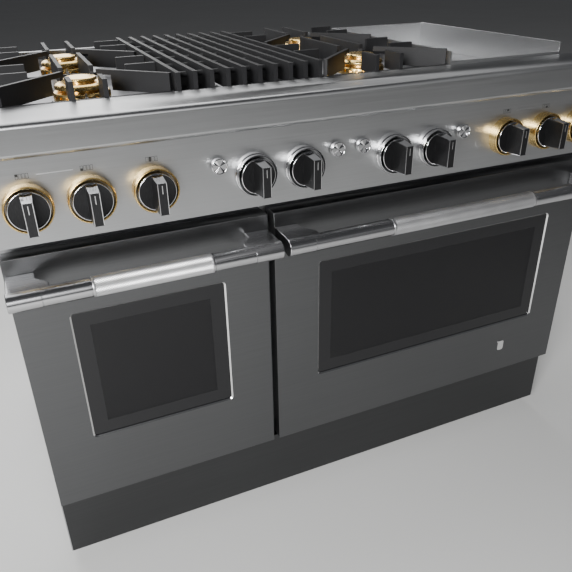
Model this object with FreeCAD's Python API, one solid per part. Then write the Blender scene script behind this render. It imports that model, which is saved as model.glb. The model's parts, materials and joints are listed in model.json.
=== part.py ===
import FreeCAD, Part
import os
from math import cos, pi, sin

# Freestanding gas range, 48 inch class: two ovens, four burners, a grill and a griddle.
# Millimetres, +Z up, front towards -Y, floor at Z = 0. While it is built, Y = 0 is the
# front face of the doors; save() shifts everything so that the overall depth is centred.

os.makedirs("parts", exist_ok=True)
V = FreeCAD.Vector

# ---- overall sizes
WIDTH = 1216.0            # over the side panels
RAIL_TOP = 914.0          # top of the front rail
BACK_Y = 708.0            # rear face
SHEET = 2.0               # side, rear and kick sheet thickness
FRONT_SHEET = 3.0         # control panel and door skins

# ---- heights of the front
KICK_BOTTOM = 32.0
KICK_TOP = 173.0
KICK_Y = 21.0
DOOR_BOTTOM = 181.0
DOOR_TOP = 707.0
PANEL_BOTTOM = 725.0
PANEL_TOP = 861.0

# ---- doors
DOOR_INSET = 2.0          # each door edge inside the body side
DOOR_SPLIT_X = -155.0     # middle of the gap between the two doors
DOOR_GAP = 12.0
DOOR_SKIN_DEPTH = 30.0
DOOR_DEPTH = 45.0
WINDOW_BOTTOM = 323.0
WINDOW_TOP = 591.0
LEFT_WINDOW = (-522.0, -248.0)
RIGHT_WINDOW = (-57.0, 519.0)
WINDOW_CORNER = 8.0
GLASS_THICK = 4.0
GLASS_LAP = 14.0
HINGE_Y = 12.0
HINGE_Z = DOOR_BOTTOM + 16.0
HINGE_PIN_R = 4.0
HINGE_BORE_R = 4.06
HINGE_ARM = 10.0          # arm thickness along X
HINGE_ARM_R = 7.0
HINGE_NOTCH = 16.0
HINGE_CHEEK = 6.0
HINGE_EDGE = 42.0         # hinge centre from the door's edge

# ---- handles
HANDLE_Y = -60.0
HANDLE_Z = 664.0
HANDLE_R = 15.0
HANDLE_SLEEVE_R = 16.0
HANDLE_FOOT = 46.0        # end bracket width at the door
HANDLE_END = 62.0         # end bracket width at the bar
HANDLE_END_R = 16.0
HANDLE_FLARE = (-20.0, -42.0)
HANDLE_SLEEVE_SHARE = 0.445

# ---- oven cavities
FRAME_Y = 50.0
FRAME_DEPTH = 12.0
OVEN_BOTTOM = 235.0
OVEN_TOP = 640.0
OVEN_BACK = 600.0
OVEN_WALL = 2.5
OVEN_SIDE = 45.0          # insulation beside each cavity
MOUTH_CORNER = 14.0
BASE_BOTTOM = 60.0
BASE_TOP = 112.0

# ---- racks and their guides
RACK_LEVELS = (300.0, 378.0, 456.0, 534.0)
RACK_LEVEL = RACK_LEVELS[1]
RACK_WIRE_R = 3.0
RACK_FRONT = 75.0
RACK_BACK = 545.0
RACK_PITCH = 30.0
GUIDE_LEDGE = 15.0
GUIDE_STRIP = 3.0

# ---- fans behind their covers
FAN_Z = 440.0
FAN_R = 58.0
FAN_HUB_R = 14.0
FAN_SHAFT_R = 5.0
FAN_BORE_R = 5.05
FAN_BLADES = 6
FAN_FRONT = 572.0
FAN_DEPTH = 18.0
COVER_Y = 560.0
COVER_HEIGHT = 230.0

# ---- controls
KNOB_Z = 787.0
BURNER_KNOBS = (-548.0, -455.0, -355.0, 355.0, 455.0, 548.0)
OVEN_KNOBS = (-183.0, -91.0, 91.0, 183.0)
BUTTONS = (-247.0, -26.0, 26.0, 247.0)
BUTTON_Z = 810.0
BEZEL_R = 37.0
BEZEL_BORE_R = 33.5
BEZEL_FRONT = -20.0
BEZEL_NOTCH = 18.0
KNOB_R = 31.0
KNOB_BACK = -6.0
KNOB_FACE = -23.0
KNOB_FRONT = -60.0
GRIP_WIDTH = 18.0
GRIP_FRONT_WIDTH = 15.0
GRIP_FRONT_HALF = 26.0
STEM_R = 4.0
STEM_BORE_R = 4.05
STEM_HOLE_R = 6.0
STEM_TIP = -20.0
VALVE_Y = 12.0
BUTTON_R = 10.5
BUTTON_SHANK_R = 8.0
BUTTON_HOLE_R = 8.06
BUTTON_PLUNGER_R = 3.0
SWITCH_HALF = 14.0

# ---- gas supply
MANIFOLD_R = 11.0
MANIFOLD_Y = 44.0
MANIFOLD_Z = 742.0
SUPPLY_X = 575.0
INLET_R = 9.3
INLET_DEPTH = 16.0
INLET_BODY_R = 15.0

# ---- cooktop
RAIL_FRONT = -8.0
RAIL_BACK = 110.0
PLATE_TOP = 908.0
SKIRT_BOTTOM = 880.0
POCKET_FRONT = 124.0
POCKET_BACK = 684.0
POCKET_CORNER = 26.0
WELL_FLOOR = 892.0
PIT_FLOOR = 800.0
GRATE_TOP = 944.0
GRATE_FRONT = 112.0
GRATE_BACK = 690.0
LEFT_COLUMN = -421.0
RIGHT_COLUMN = 148.0
COLUMN_HALF = 141.0
BURNER_Y = (226.0, 522.0)
BAR_THICK = 8.0
GRILL_BARS = 10
GRILL_PITCH = 30.0
GRILL_FIRST_X = -272.0
GRILL_ROD_R = 5.0
GRILL_RODS = 6
GRILL_ROD_FIRST_Y = 157.0
GRILL_ROD_PITCH = 96.5
GRIDDLE = (297.0, 591.0)  # pit for the griddle tub
GRIDDLE_FRONT = 121.0     # inner faces of the tub
GRIDDLE_BACK = 643.0
GRIDDLE_TOP = 872.0
GRIDDLE_THICK = 10.0
TUB_WALL = 2.5
TUB_FIT = 0.5             # between the tub and its pit
TUB_LEDGE = 12.0
SPLASH_TOP = 938.0
LIP_TOP = 918.0


# ---- shape helpers
def box(x0, x1, y0, y1, z0, z1):
    return Part.makeBox(x1 - x0, y1 - y0, z1 - z0, V(x0, y0, z0))


def cyl_x(r, x0, x1, y, z):
    return Part.makeCylinder(r, x1 - x0, V(x0, y, z), V(1, 0, 0))


def cyl_y(r, x, y0, y1, z):
    return Part.makeCylinder(r, y1 - y0, V(x, y0, z), V(0, 1, 0))


def cyl_z(r, x, y, z0, z1):
    return Part.makeCylinder(r, z1 - z0, V(x, y, z0), V(0, 0, 1))


def fuse(shapes):
    first, rest = shapes[0], shapes[1:]
    return first.multiFuse(rest).removeSplitter() if rest else first


def cut(shape, tools):
    return shape.cut(Part.makeCompound(tools)) if len(tools) > 1 else shape.cut(tools[0])


def along_x(points, x0, x1):
    """Prism with a (y, z) outline, from x0 to x1."""
    wire = Part.makePolygon([V(x0, y, z) for y, z in points + points[:1]])
    return Part.Face(wire).extrude(V(x1 - x0, 0, 0))


def along_z(points, z0, z1):
    """Prism with an (x, y) outline, from z0 to z1."""
    wire = Part.makePolygon([V(x, y, z0) for x, y in points + points[:1]])
    return Part.Face(wire).extrude(V(0, 0, z1 - z0))


def round_y(x0, x1, y0, y1, z0, z1, r):
    """Box with its four Y edges rounded."""
    solid = box(x0, x1, y0, y1, z0, z1)
    edges = [e for e in solid.Edges if abs(e.tangentAt(e.FirstParameter).y) > 0.9]
    return solid.makeFillet(r, edges)


def round_z(x0, x1, y0, y1, z0, z1, r):
    """Box with its four Z edges rounded."""
    solid = box(x0, x1, y0, y1, z0, z1)
    edges = [e for e in solid.Edges if abs(e.tangentAt(e.FirstParameter).z) > 0.9]
    return solid.makeFillet(r, edges)


def tube_y(outer, inner, x, y0, y1, z):
    return cyl_y(outer, x, y0, y1, z).cut(cyl_y(inner, x, y0 - 1, y1 + 1, z))


def blade(x0, y0, x1, y1, z0, z1, thick):
    """Upright bar between two plan points."""
    length = V(x1 - x0, y1 - y0, 0).Length
    nx = -(y1 - y0) / length * thick / 2
    ny = (x1 - x0) / length * thick / 2
    corners = [V(x0 + nx, y0 + ny, z0), V(x1 + nx, y1 + ny, z0),
               V(x1 - nx, y1 - ny, z0), V(x0 - nx, y0 - ny, z0)]
    return Part.Face(Part.makePolygon(corners + corners[:1])).extrude(V(0, 0, z1 - z0))


SHIFT_Y = -(BACK_Y + HANDLE_Y - HANDLE_END_R) / 2


def save(name, shapes):
    solids = shapes if isinstance(shapes, list) else [shapes]
    whole = Part.makeCompound(solids) if len(solids) > 1 else solids[0]
    whole = whole.copy()
    whole.translate(V(0, SHIFT_Y, 0))
    whole.exportStep("parts/" + name + ".step")


HALF = WIDTH / 2
INNER = HALF - SHEET
DOOR_EDGE = HALF - DOOR_INSET
DOORS = {
    "left": (-DOOR_EDGE, DOOR_SPLIT_X - DOOR_GAP / 2, LEFT_WINDOW),
    "right": (DOOR_SPLIT_X + DOOR_GAP / 2, DOOR_EDGE, RIGHT_WINDOW),
}
CAVITIES = {
    "left": (-INNER + OVEN_SIDE, DOOR_SPLIT_X - OVEN_SIDE),
    "right": (DOOR_SPLIT_X + OVEN_SIDE, INNER - OVEN_SIDE),
}

# ---- base tray and levelling feet
FOOT_X = HALF - 45.0
FOOT_Y = (75.0, BACK_Y - 45.0)
FOOT_PAD_R = 24.0
FOOT_STEM_R = 9.0
tray = box(-INNER, INNER, KICK_Y + 29, BACK_Y - SHEET, BASE_BOTTOM, BASE_TOP)
tray = tray.cut(box(-INNER + 3, INNER - 3, KICK_Y + 32, BACK_Y - SHEET - 3, BASE_BOTTOM + 4, BASE_TOP + 1))
ribs = [box(x - 3, x + 3, KICK_Y + 32, BACK_Y - SHEET - 3, BASE_BOTTOM + 4, BASE_TOP)
        for x in (DOOR_SPLIT_X, -DOOR_SPLIT_X, 0.0)]
foot_spots = [(sx * FOOT_X, y) for sx in (-1, 1) for y in FOOT_Y]
bosses = [cyl_z(FOOT_STEM_R + 7, x, y, BASE_BOTTOM, BASE_BOTTOM + 22) for x, y in foot_spots]
tray = fuse([tray] + ribs + bosses)
save("base_frame", cut(tray, [cyl_z(FOOT_STEM_R + 0.05, x, y, BASE_BOTTOM - 1, BASE_BOTTOM + 23)
                              for x, y in foot_spots]))
feet = []
for x, y in foot_spots:
    pad = cyl_z(FOOT_PAD_R, x, y, 0, 8)
    pad = pad.makeChamfer(2, [pad.Edges[0]])
    nut = cyl_z(FOOT_STEM_R + 5, x, y, BASE_BOTTOM - 9, BASE_BOTTOM)
    feet.append(fuse([pad, cyl_z(FOOT_STEM_R, x, y, 6, BASE_BOTTOM + 20), nut]))
save("levelling_feet", feet)

# ---- body skins
side_outline = [(KICK_Y, KICK_BOTTOM), (BACK_Y, KICK_BOTTOM), (BACK_Y, SKIRT_BOTTOM),
                (RAIL_BACK, SKIRT_BOTTOM), (RAIL_BACK, PANEL_TOP), (FRONT_SHEET, PANEL_TOP),
                (FRONT_SHEET, PANEL_BOTTOM), (FRAME_Y, PANEL_BOTTOM), (FRAME_Y, KICK_TOP),
                (KICK_Y, KICK_TOP)]
save("side_panel_left", along_x(side_outline, -HALF, -INNER))
save("side_panel_right", along_x(side_outline, INNER, HALF))

BACKGUARD_X = 560.0
BACKGUARD_Z = (800.0, 860.0)
BACKGUARD_HOLE_R = 2.6
LOUVRE_LENGTH = 160.0
rear = box(-INNER, INNER, BACK_Y - SHEET, BACK_Y, BASE_BOTTOM, SKIRT_BOTTOM)
rear_cuts = [cyl_y(INLET_BODY_R + 0.4, SUPPLY_X, BACK_Y - 9, BACK_Y + 1, MANIFOLD_Z)]
rear_cuts += [cyl_y(BACKGUARD_HOLE_R, sx * BACKGUARD_X, BACK_Y - 9, BACK_Y + 1, z)
              for sx in (-1, 1) for z in BACKGUARD_Z]
for column in range(-2, 3):
    for row in range(4):
        x = column * 200.0
        z = 690.0 + row * 14.0
        rear_cuts.append(box(x - LOUVRE_LENGTH / 2, x + LOUVRE_LENGTH / 2, BACK_Y - 9, BACK_Y + 1, z, z + 5))
save("rear_panel", cut(rear, rear_cuts))

kick = box(-INNER, INNER, KICK_Y, FRAME_Y, KICK_BOTTOM, KICK_TOP)
kick = kick.cut(box(-INNER + SHEET, INNER - SHEET, KICK_Y + SHEET, FRAME_Y + 1,
                    KICK_BOTTOM + SHEET, KICK_TOP - SHEET))
save("kick_panel", kick)

# ---- front frame with the two oven mouths and the door hinge arms
frame = box(-INNER, INNER, FRAME_Y, FRAME_Y + FRAME_DEPTH, KICK_TOP, PANEL_BOTTOM)
mouths = [round_y(x0, x1, FRAME_Y - 1, FRAME_Y + FRAME_DEPTH + 1, OVEN_BOTTOM, OVEN_TOP, MOUTH_CORNER)
          for x0, x1 in CAVITIES.values()]
frame = cut(frame, mouths)
hinges = {side: (x0 + HINGE_EDGE, x1 - HINGE_EDGE) for side, (x0, x1, window) in DOORS.items()}
arms = []
bores = []
for pair in hinges.values():
    for x in pair:
        x0, x1 = x - HINGE_ARM / 2, x + HINGE_ARM / 2
        arms.append(box(x0, x1, HINGE_Y, FRAME_Y + 1, HINGE_Z - HINGE_ARM_R, HINGE_Z + HINGE_ARM_R))
        arms.append(cyl_x(HINGE_ARM_R, x0, x1, HINGE_Y, HINGE_Z))
        bores.append(cyl_x(HINGE_BORE_R, x0 - 1, x1 + 1, HINGE_Y, HINGE_Z))
save("front_frame", cut(fuse([frame] + arms), bores))

# ---- oven cavities, rack guides, racks, fans and oven burners
guides = []
oven_tubes = []
covers = []
for side, (x0, x1) in CAVITIES.items():
    middle = (x0 + x1) / 2
    front = FRAME_Y + FRAME_DEPTH
    shell = box(x0 - OVEN_WALL, x1 + OVEN_WALL, front, OVEN_BACK + OVEN_WALL,
                OVEN_BOTTOM - OVEN_WALL, OVEN_TOP + OVEN_WALL)
    flange = box(x0 - 20, x1 + 20, front, front + OVEN_WALL, OVEN_BOTTOM - 20, OVEN_TOP + 20)
    boss = cyl_y(FAN_HUB_R, middle, OVEN_BACK, OVEN_BACK + 22, FAN_Z)
    room = round_y(x0, x1, front - 1, OVEN_BACK, OVEN_BOTTOM, OVEN_TOP, MOUTH_CORNER)
    liner = fuse([shell, flange, boss]).cut(room)
    save("oven_liner_" + side, liner.cut(cyl_y(FAN_BORE_R, middle, OVEN_BACK - 1, OVEN_BACK + 23, FAN_Z)))

    for wall, inward in ((x0, 1), (x1, -1)):
        def strip(depth0, depth1, y0, y1, z0, z1):
            xa, xb = sorted((wall + inward * depth0, wall + inward * depth1))
            return box(xa, xb, y0, y1, z0, z1)
        pieces = [strip(0, GUIDE_STRIP, y, y + 12, OVEN_BOTTOM + 40, OVEN_TOP - 70)
                  for y in (100.0, 310.0, 520.0)]
        pieces += [strip(GUIDE_STRIP - 1, GUIDE_LEDGE, 92, 540, z - GUIDE_STRIP, z) for z in RACK_LEVELS]
        guides.append(fuse(pieces))

    rack_z = RACK_LEVEL + RACK_WIRE_R + 0.3
    left, right = x0 + GUIDE_LEDGE - 4, x1 - GUIDE_LEDGE + 4
    wires = [cyl_y(RACK_WIRE_R, x, RACK_FRONT, RACK_BACK, rack_z) for x in (left, right)]
    wires += [cyl_x(RACK_WIRE_R, left, right, y, rack_z) for y in (RACK_FRONT, 310.0, RACK_BACK)]
    count = int((right - left) / RACK_PITCH)
    step = (right - left) / count
    wires += [cyl_y(2.0, left + i * step, RACK_FRONT, RACK_BACK, rack_z + 3) for i in range(1, count)]
    save("oven_rack_" + side, fuse(wires))

    blades = [cyl_y(FAN_HUB_R - 2, middle, FAN_FRONT, FAN_FRONT + FAN_DEPTH, FAN_Z),
              cyl_y(FAN_SHAFT_R, middle, FAN_FRONT, OVEN_BACK + 20, FAN_Z)]
    for i in range(FAN_BLADES):
        vane = box(-1, 1, FAN_FRONT, FAN_FRONT + FAN_DEPTH, 6, FAN_R)
        vane.rotate(V(0, 0, 0), V(0, 1, 0), i * 360.0 / FAN_BLADES)
        vane.translate(V(middle, 0, FAN_Z))
        blades.append(vane)
    blades.append(tube_y(FAN_R, FAN_R - 2, middle, FAN_FRONT, FAN_FRONT + 3, FAN_Z))
    save("fan_" + side, fuse(blades))

    reach = min(150.0, (x1 - x0) / 2 - 40)
    cover = box(middle - reach, middle + reach, COVER_Y, OVEN_BACK, FAN_Z - COVER_HEIGHT / 2,
                FAN_Z + COVER_HEIGHT / 2)
    cover = cover.cut(box(middle - reach + 2, middle + reach - 2, COVER_Y + 2, OVEN_BACK + 1,
                          FAN_Z - COVER_HEIGHT / 2 + 2, FAN_Z + COVER_HEIGHT / 2 - 2))
    slots = []
    for i in range(-4, 5):
        half = (FAN_R ** 2 - (i * 12.0) ** 2) ** 0.5
        slots.append(box(middle - half, middle + half, COVER_Y - 1, COVER_Y + 3,
                         FAN_Z + i * 12.0 - 3, FAN_Z + i * 12.0 + 3))
    covers.append(cut(cover, slots))

    for z, hanger in ((OVEN_BOTTOM - OVEN_WALL - 14, 1), (OVEN_TOP - 14, 1)):
        xa, xb = middle - reach + 20, middle + reach - 20
        top = OVEN_TOP if z > OVEN_BOTTOM else OVEN_BOTTOM - OVEN_WALL
        tube = [cyl_y(8, xa, 120, 520, z), cyl_y(8, xb, 120, 520, z), cyl_x(8, xa, xb, 120, z)]
        tube += [box(x - 3, x + 3, y, y + 16, z, top) for x in (xa, xb) for y in (160.0, 460.0)]
        oven_tubes.append(fuse(tube))
save("rack_guides", guides)
save("fan_covers", covers)
save("oven_burners", oven_tubes)


# ---- doors: skin, glass, inner pan and handle
def door(side):
    x0, x1, (w0, w1) = DOORS[side]
    skin = box(x0, x1, 0, DOOR_SKIN_DEPTH, DOOR_BOTTOM, DOOR_TOP)
    skin = skin.cut(box(x0 + SHEET, x1 - SHEET, FRONT_SHEET, DOOR_SKIN_DEPTH + 1,
                        DOOR_BOTTOM + SHEET, DOOR_TOP - SHEET))
    window = round_y(w0, w1, -1, FRONT_SHEET + 1, WINDOW_BOTTOM, WINDOW_TOP, WINDOW_CORNER)
    notches = [box(x - HINGE_NOTCH / 2, x + HINGE_NOTCH / 2, HINGE_Y - 8, DOOR_DEPTH + 1,
                   DOOR_BOTTOM - 1, HINGE_Z + 8) for x in hinges[side]]
    save("door_" + side + "_panel", cut(skin, [window] + notches))

    outer_pane = round_y(w0 - GLASS_LAP, w1 + GLASS_LAP, FRONT_SHEET, FRONT_SHEET + GLASS_THICK,
                         WINDOW_BOTTOM - GLASS_LAP, WINDOW_TOP + GLASS_LAP, WINDOW_CORNER)
    inner_pane = box(w0 + SHEET, w1 - SHEET, DOOR_DEPTH - 8, DOOR_DEPTH - 4,
                     WINDOW_BOTTOM + SHEET, WINDOW_TOP - SHEET)
    save("door_" + side + "_glass", [outer_pane, inner_pane])

    pan = box(x0 + SHEET, x1 - SHEET, DOOR_SKIN_DEPTH, DOOR_DEPTH, DOOR_BOTTOM, DOOR_TOP)
    pan = pan.cut(box(x0 + 2 * SHEET, x1 - 2 * SHEET, DOOR_SKIN_DEPTH - 1, DOOR_DEPTH - 3,
                      DOOR_BOTTOM + SHEET, DOOR_TOP - SHEET))
    well = box(w0, w1, FRONT_SHEET + GLASS_THICK, DOOR_DEPTH, WINDOW_BOTTOM, WINDOW_TOP)
    hole = box(w0 + SHEET, w1 - SHEET, 0, DOOR_DEPTH + 1, WINDOW_BOTTOM + SHEET, WINDOW_TOP - SHEET)
    cheeks = []
    pins = []
    for x in hinges[side]:
        for sign in (-1, 1):
            near, far = sorted((x + sign * HINGE_NOTCH / 2, x + sign * (HINGE_NOTCH / 2 + HINGE_CHEEK)))
            cheeks.append(box(near, far, FRONT_SHEET, DOOR_DEPTH, DOOR_BOTTOM + SHEET, HINGE_Z + 18))
        pins.append(cyl_x(HINGE_PIN_R, x - HINGE_NOTCH / 2 - 1, x + HINGE_NOTCH / 2 + 1, HINGE_Y, HINGE_Z))
    pan = cut(fuse([pan, well] + cheeks), [hole] + notches)
    save("door_" + side + "_inner", fuse([pan] + pins))

    middle = (x0 + x1) / 2
    sleeve = (x1 - x0) * HANDLE_SLEEVE_SHARE / 2
    parts = [cyl_x(HANDLE_R, x0 + 1, x1 - 1, HANDLE_Y, HANDLE_Z),
             cyl_x(HANDLE_SLEEVE_R, middle - sleeve, middle + sleeve, HANDLE_Y, HANDLE_Z)]
    for xa, xb in ((x0, x0 + HANDLE_END), (x1 - HANDLE_END, x1)):
        parts.append(cyl_x(HANDLE_END_R, xa, xb, HANDLE_Y, HANDLE_Z))
        end, sign = (xa, 1) if xa == x0 else (xb, -1)
        foot, flared = end + sign * HANDLE_FOOT, end + sign * HANDLE_END
        parts.append(along_z([(end, 0), (end, HANDLE_Y), (flared, HANDLE_Y), (flared, HANDLE_FLARE[1]),
                              (foot, HANDLE_FLARE[0]), (foot, 0)],
                             HANDLE_Z - HANDLE_END_R, HANDLE_Z + HANDLE_END_R))
    save("door_" + side + "_handle", fuse(parts))


door("left")
door("right")

# ---- control panel and front rail
panel = box(-HALF, HALF, 0, FRAME_Y, PANEL_BOTTOM, PANEL_TOP)
panel = panel.cut(box(-HALF - 1, HALF + 1, FRONT_SHEET, FRAME_Y + 1, PANEL_BOTTOM + 2, PANEL_TOP - 2))
panel = cut(panel, [box(-HALF - 1, -INNER, FRONT_SHEET, FRAME_Y + 1, PANEL_BOTTOM - 1, PANEL_TOP + 1),
                    box(INNER, HALF + 1, FRONT_SHEET, FRAME_Y + 1, PANEL_BOTTOM - 1, PANEL_TOP + 1)])
panel_holes = [cyl_y(STEM_HOLE_R, x, -1, FRONT_SHEET + 1, KNOB_Z) for x in BURNER_KNOBS + OVEN_KNOBS]
panel_holes += [cyl_y(BUTTON_HOLE_R, x, -1, FRONT_SHEET + 1, BUTTON_Z) for x in BUTTONS]
save("control_panel", cut(panel, panel_holes))

rail = box(-HALF, HALF, RAIL_FRONT, RAIL_BACK, PANEL_TOP, RAIL_TOP)
front_edges = [e for e in rail.Edges if abs(e.tangentAt(e.FirstParameter).x) > 0.9
               and e.CenterOfMass.y < RAIL_FRONT + 1]
rail = rail.makeFillet(9, front_edges)
rail = cut(rail, [box(-INNER, INNER, RAIL_FRONT + 3, RAIL_BACK - 3, PANEL_TOP + 3, RAIL_TOP - 3),
                  box(-INNER, INNER, FRAME_Y, RAIL_BACK - 3, PANEL_TOP - 1, PANEL_TOP + 4)])
save("top_rail", rail)

# ---- knobs, stems, bezels and buttons
brass_rings = []
chrome_rings = []
for x in BURNER_KNOBS:
    ring = tube_y(BEZEL_R, BEZEL_BORE_R, x, BEZEL_FRONT, 0, KNOB_Z)
    ring = ring.cut(box(x - BEZEL_NOTCH / 2, x + BEZEL_NOTCH / 2, BEZEL_FRONT - 1, BEZEL_FRONT + 5,
                        KNOB_Z, KNOB_Z + BEZEL_R + 1))
    brass_rings.append(ring)
for x in OVEN_KNOBS:
    ring = fuse([tube_y(BEZEL_R, BEZEL_BORE_R, x, BEZEL_FRONT / 2, 0, KNOB_Z),
                 tube_y(BEZEL_R - 2, BEZEL_BORE_R, x, BEZEL_FRONT, BEZEL_FRONT / 2, KNOB_Z)])
    chrome_rings.append(ring)
save("brass_bezels", brass_rings)
save("chrome_bezels", chrome_rings)


def knob(x):
    disc = cyl_y(KNOB_R, x, KNOB_FACE, KNOB_BACK, KNOB_Z)
    disc = disc.cut(tube_y(KNOB_R - 3, 0.1, x, KNOB_FACE - 1, KNOB_FACE + 2, KNOB_Z))
    base = [V(x - GRIP_WIDTH / 2, KNOB_FACE + 4, KNOB_Z - KNOB_R + 2),
            V(x + GRIP_WIDTH / 2, KNOB_FACE + 4, KNOB_Z - KNOB_R + 2),
            V(x + GRIP_WIDTH / 2, KNOB_FACE + 4, KNOB_Z + KNOB_R - 2),
            V(x - GRIP_WIDTH / 2, KNOB_FACE + 4, KNOB_Z + KNOB_R - 2)]
    front = [V(x - GRIP_FRONT_WIDTH / 2, KNOB_FRONT, KNOB_Z - GRIP_FRONT_HALF),
             V(x + GRIP_FRONT_WIDTH / 2, KNOB_FRONT, KNOB_Z - GRIP_FRONT_HALF),
             V(x + GRIP_FRONT_WIDTH / 2, KNOB_FRONT, KNOB_Z + GRIP_FRONT_HALF),
             V(x - GRIP_FRONT_WIDTH / 2, KNOB_FRONT, KNOB_Z + GRIP_FRONT_HALF)]
    grip = Part.makeLoft([Part.makePolygon(base + base[:1]), Part.makePolygon(front + front[:1])], True)
    return cut(fuse([disc, grip]), [cyl_y(STEM_BORE_R, x, STEM_TIP - 2, 0, KNOB_Z)])


for index, x in enumerate(BURNER_KNOBS, 1):
    save("burner_knob_%d" % index, knob(x))
    stem = fuse([cyl_y(STEM_R, x, STEM_TIP, VALVE_Y + 22, KNOB_Z),
                 cyl_y(STEM_R + 1.5, x, FRONT_SHEET + 1, FRONT_SHEET + 4, KNOB_Z)])
    save("valve_stem_%d" % index, stem)
for index, x in enumerate(OVEN_KNOBS, 1):
    save("oven_knob_%d" % index, knob(x))

for index, x in enumerate(BUTTONS, 1):
    square = Part.makePolygon([V(x + 12 * sx, -5, BUTTON_Z + 12 * sz)
                               for sx, sz in ((-1, -1), (1, -1), (1, 1), (-1, 1), (-1, -1))])
    tip = Part.makePolygon([V(x + sx, -8, BUTTON_Z + sz)
                            for sx, sz in ((-1, -1), (1, -1), (1, 1), (-1, 1), (-1, -1))])
    faceted = Part.makeLoft([square, tip], True).common(cyl_y(BUTTON_R, x, -9, -4, BUTTON_Z))
    button = fuse([faceted, cyl_y(BUTTON_R, x, -5, -3, BUTTON_Z),
                   cyl_y(BUTTON_SHANK_R, x, -4, 5, BUTTON_Z),
                   cyl_y(BUTTON_SHANK_R + 2, x, FRONT_SHEET + 0.5, 6, BUTTON_Z),
                   cyl_y(BUTTON_PLUNGER_R, x, 5, 12, BUTTON_Z)])
    save("push_button_%d" % index, button)

# ---- valve bodies, thermostats and switches behind the panel
manifold = cyl_x(MANIFOLD_R, -SUPPLY_X, SUPPLY_X, MANIFOLD_Y, MANIFOLD_Z)
elbow = Part.makeSphere(MANIFOLD_R + 3, V(SUPPLY_X, MANIFOLD_Y, MANIFOLD_Z))
bodies = []
for x in BURNER_KNOBS:
    body = fuse([box(x - 15, x + 15, VALVE_Y, VALVE_Y + 42, KNOB_Z - 17, KNOB_Z + 17),
                 cyl_z(8, x, MANIFOLD_Y, MANIFOLD_Z, KNOB_Z)])
    body = body.cut(manifold)
    bodies.append(body.cut(cyl_y(STEM_BORE_R, x, VALVE_Y - 1, VALVE_Y + 28, KNOB_Z)))
for x in OVEN_KNOBS:
    bodies.append(fuse([box(x - 20, x + 20, FRONT_SHEET, 36, KNOB_Z - 22, KNOB_Z + 22),
                        cyl_y(STEM_R, x, STEM_TIP, FRONT_SHEET + 1, KNOB_Z)]))
for x in BUTTONS:
    switch = box(x - SWITCH_HALF, x + SWITCH_HALF, FRONT_SHEET, 24, BUTTON_Z - SWITCH_HALF,
                 BUTTON_Z + SWITCH_HALF)
    bodies.append(cut(switch, [cyl_y(BUTTON_SHANK_R + 3, x, FRONT_SHEET - 1, 9, BUTTON_Z),
                               cyl_y(BUTTON_PLUNGER_R + 0.05, x, 8, 16, BUTTON_Z)]))
save("control_bodies", bodies)

supply = cyl_y(MANIFOLD_R, SUPPLY_X, MANIFOLD_Y, BACK_Y - 20, MANIFOLD_Z)
inlet = cyl_y(INLET_BODY_R, SUPPLY_X, BACK_Y - 30, BACK_Y, MANIFOLD_Z)
flange = cyl_y(INLET_BODY_R + 6, SUPPLY_X, BACK_Y - SHEET - 5, BACK_Y - SHEET, MANIFOLD_Z)
supply = cut(fuse([manifold, elbow, supply, inlet, flange]),
             [cyl_y(INLET_R, SUPPLY_X, BACK_Y - INLET_DEPTH, BACK_Y + 1, MANIFOLD_Z),
              cyl_y(INLET_R - 3, SUPPLY_X, BACK_Y - INLET_DEPTH - 60, BACK_Y, MANIFOLD_Z)])
save("gas_manifold", supply)

# ---- cooktop pan with burner wells and deep pits
WELLS = [(LEFT_COLUMN - COLUMN_HALF - 3, LEFT_COLUMN + COLUMN_HALF + 3),
         (RIGHT_COLUMN - COLUMN_HALF - 3, RIGHT_COLUMN + COLUMN_HALF + 3)]
GRILL_PIT = (GRILL_FIRST_X - 4, GRILL_FIRST_X + (GRILL_BARS - 1) * GRILL_PITCH + 4)
PITS = [GRILL_PIT, GRIDDLE]
GRIDDLE_PIT_CORNER = 1.5
TUB_FRONT = GRIDDLE_FRONT - TUB_WALL
TUB_BACK = GRIDDLE_BACK + TUB_WALL
pan = [box(-HALF, HALF, RAIL_BACK, BACK_Y, PLATE_TOP - 2, PLATE_TOP),
       box(-HALF, -INNER, RAIL_BACK, BACK_Y, SKIRT_BOTTOM, PLATE_TOP),
       box(INNER, HALF, RAIL_BACK, BACK_Y, SKIRT_BOTTOM, PLATE_TOP),
       box(-HALF, HALF, BACK_Y - SHEET, BACK_Y, SKIRT_BOTTOM, PLATE_TOP)]
rooms = []
for (x0, x1), floor in zip(WELLS + [GRILL_PIT], (WELL_FLOOR, WELL_FLOOR, PIT_FLOOR)):
    pan.append(round_z(x0 - 2, x1 + 2, POCKET_FRONT - 2, POCKET_BACK + 2, floor - 2,
                       PLATE_TOP - 1, POCKET_CORNER + 2))
    rooms.append(round_z(x0, x1, POCKET_FRONT, POCKET_BACK, floor, PLATE_TOP + 1, POCKET_CORNER))
pan.append(round_z(GRIDDLE[0] - 2, GRIDDLE[1] + 2, TUB_FRONT - TUB_FIT - 2, TUB_BACK + TUB_FIT + 2,
                   PIT_FLOOR - 2, PLATE_TOP - 1, GRIDDLE_PIT_CORNER + 2))
rooms.append(round_z(GRIDDLE[0], GRIDDLE[1], TUB_FRONT - TUB_FIT, TUB_BACK + TUB_FIT,
                     PIT_FLOOR, PLATE_TOP + 1, GRIDDLE_PIT_CORNER))
burners = [(x, y) for x in (LEFT_COLUMN, RIGHT_COLUMN) for y in BURNER_Y]
rooms += [cyl_z(41, x, y, WELL_FLOOR - 5, WELL_FLOOR + 5) for x, y in burners]
save("cooktop_pan", cut(fuse(pan), rooms))

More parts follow.
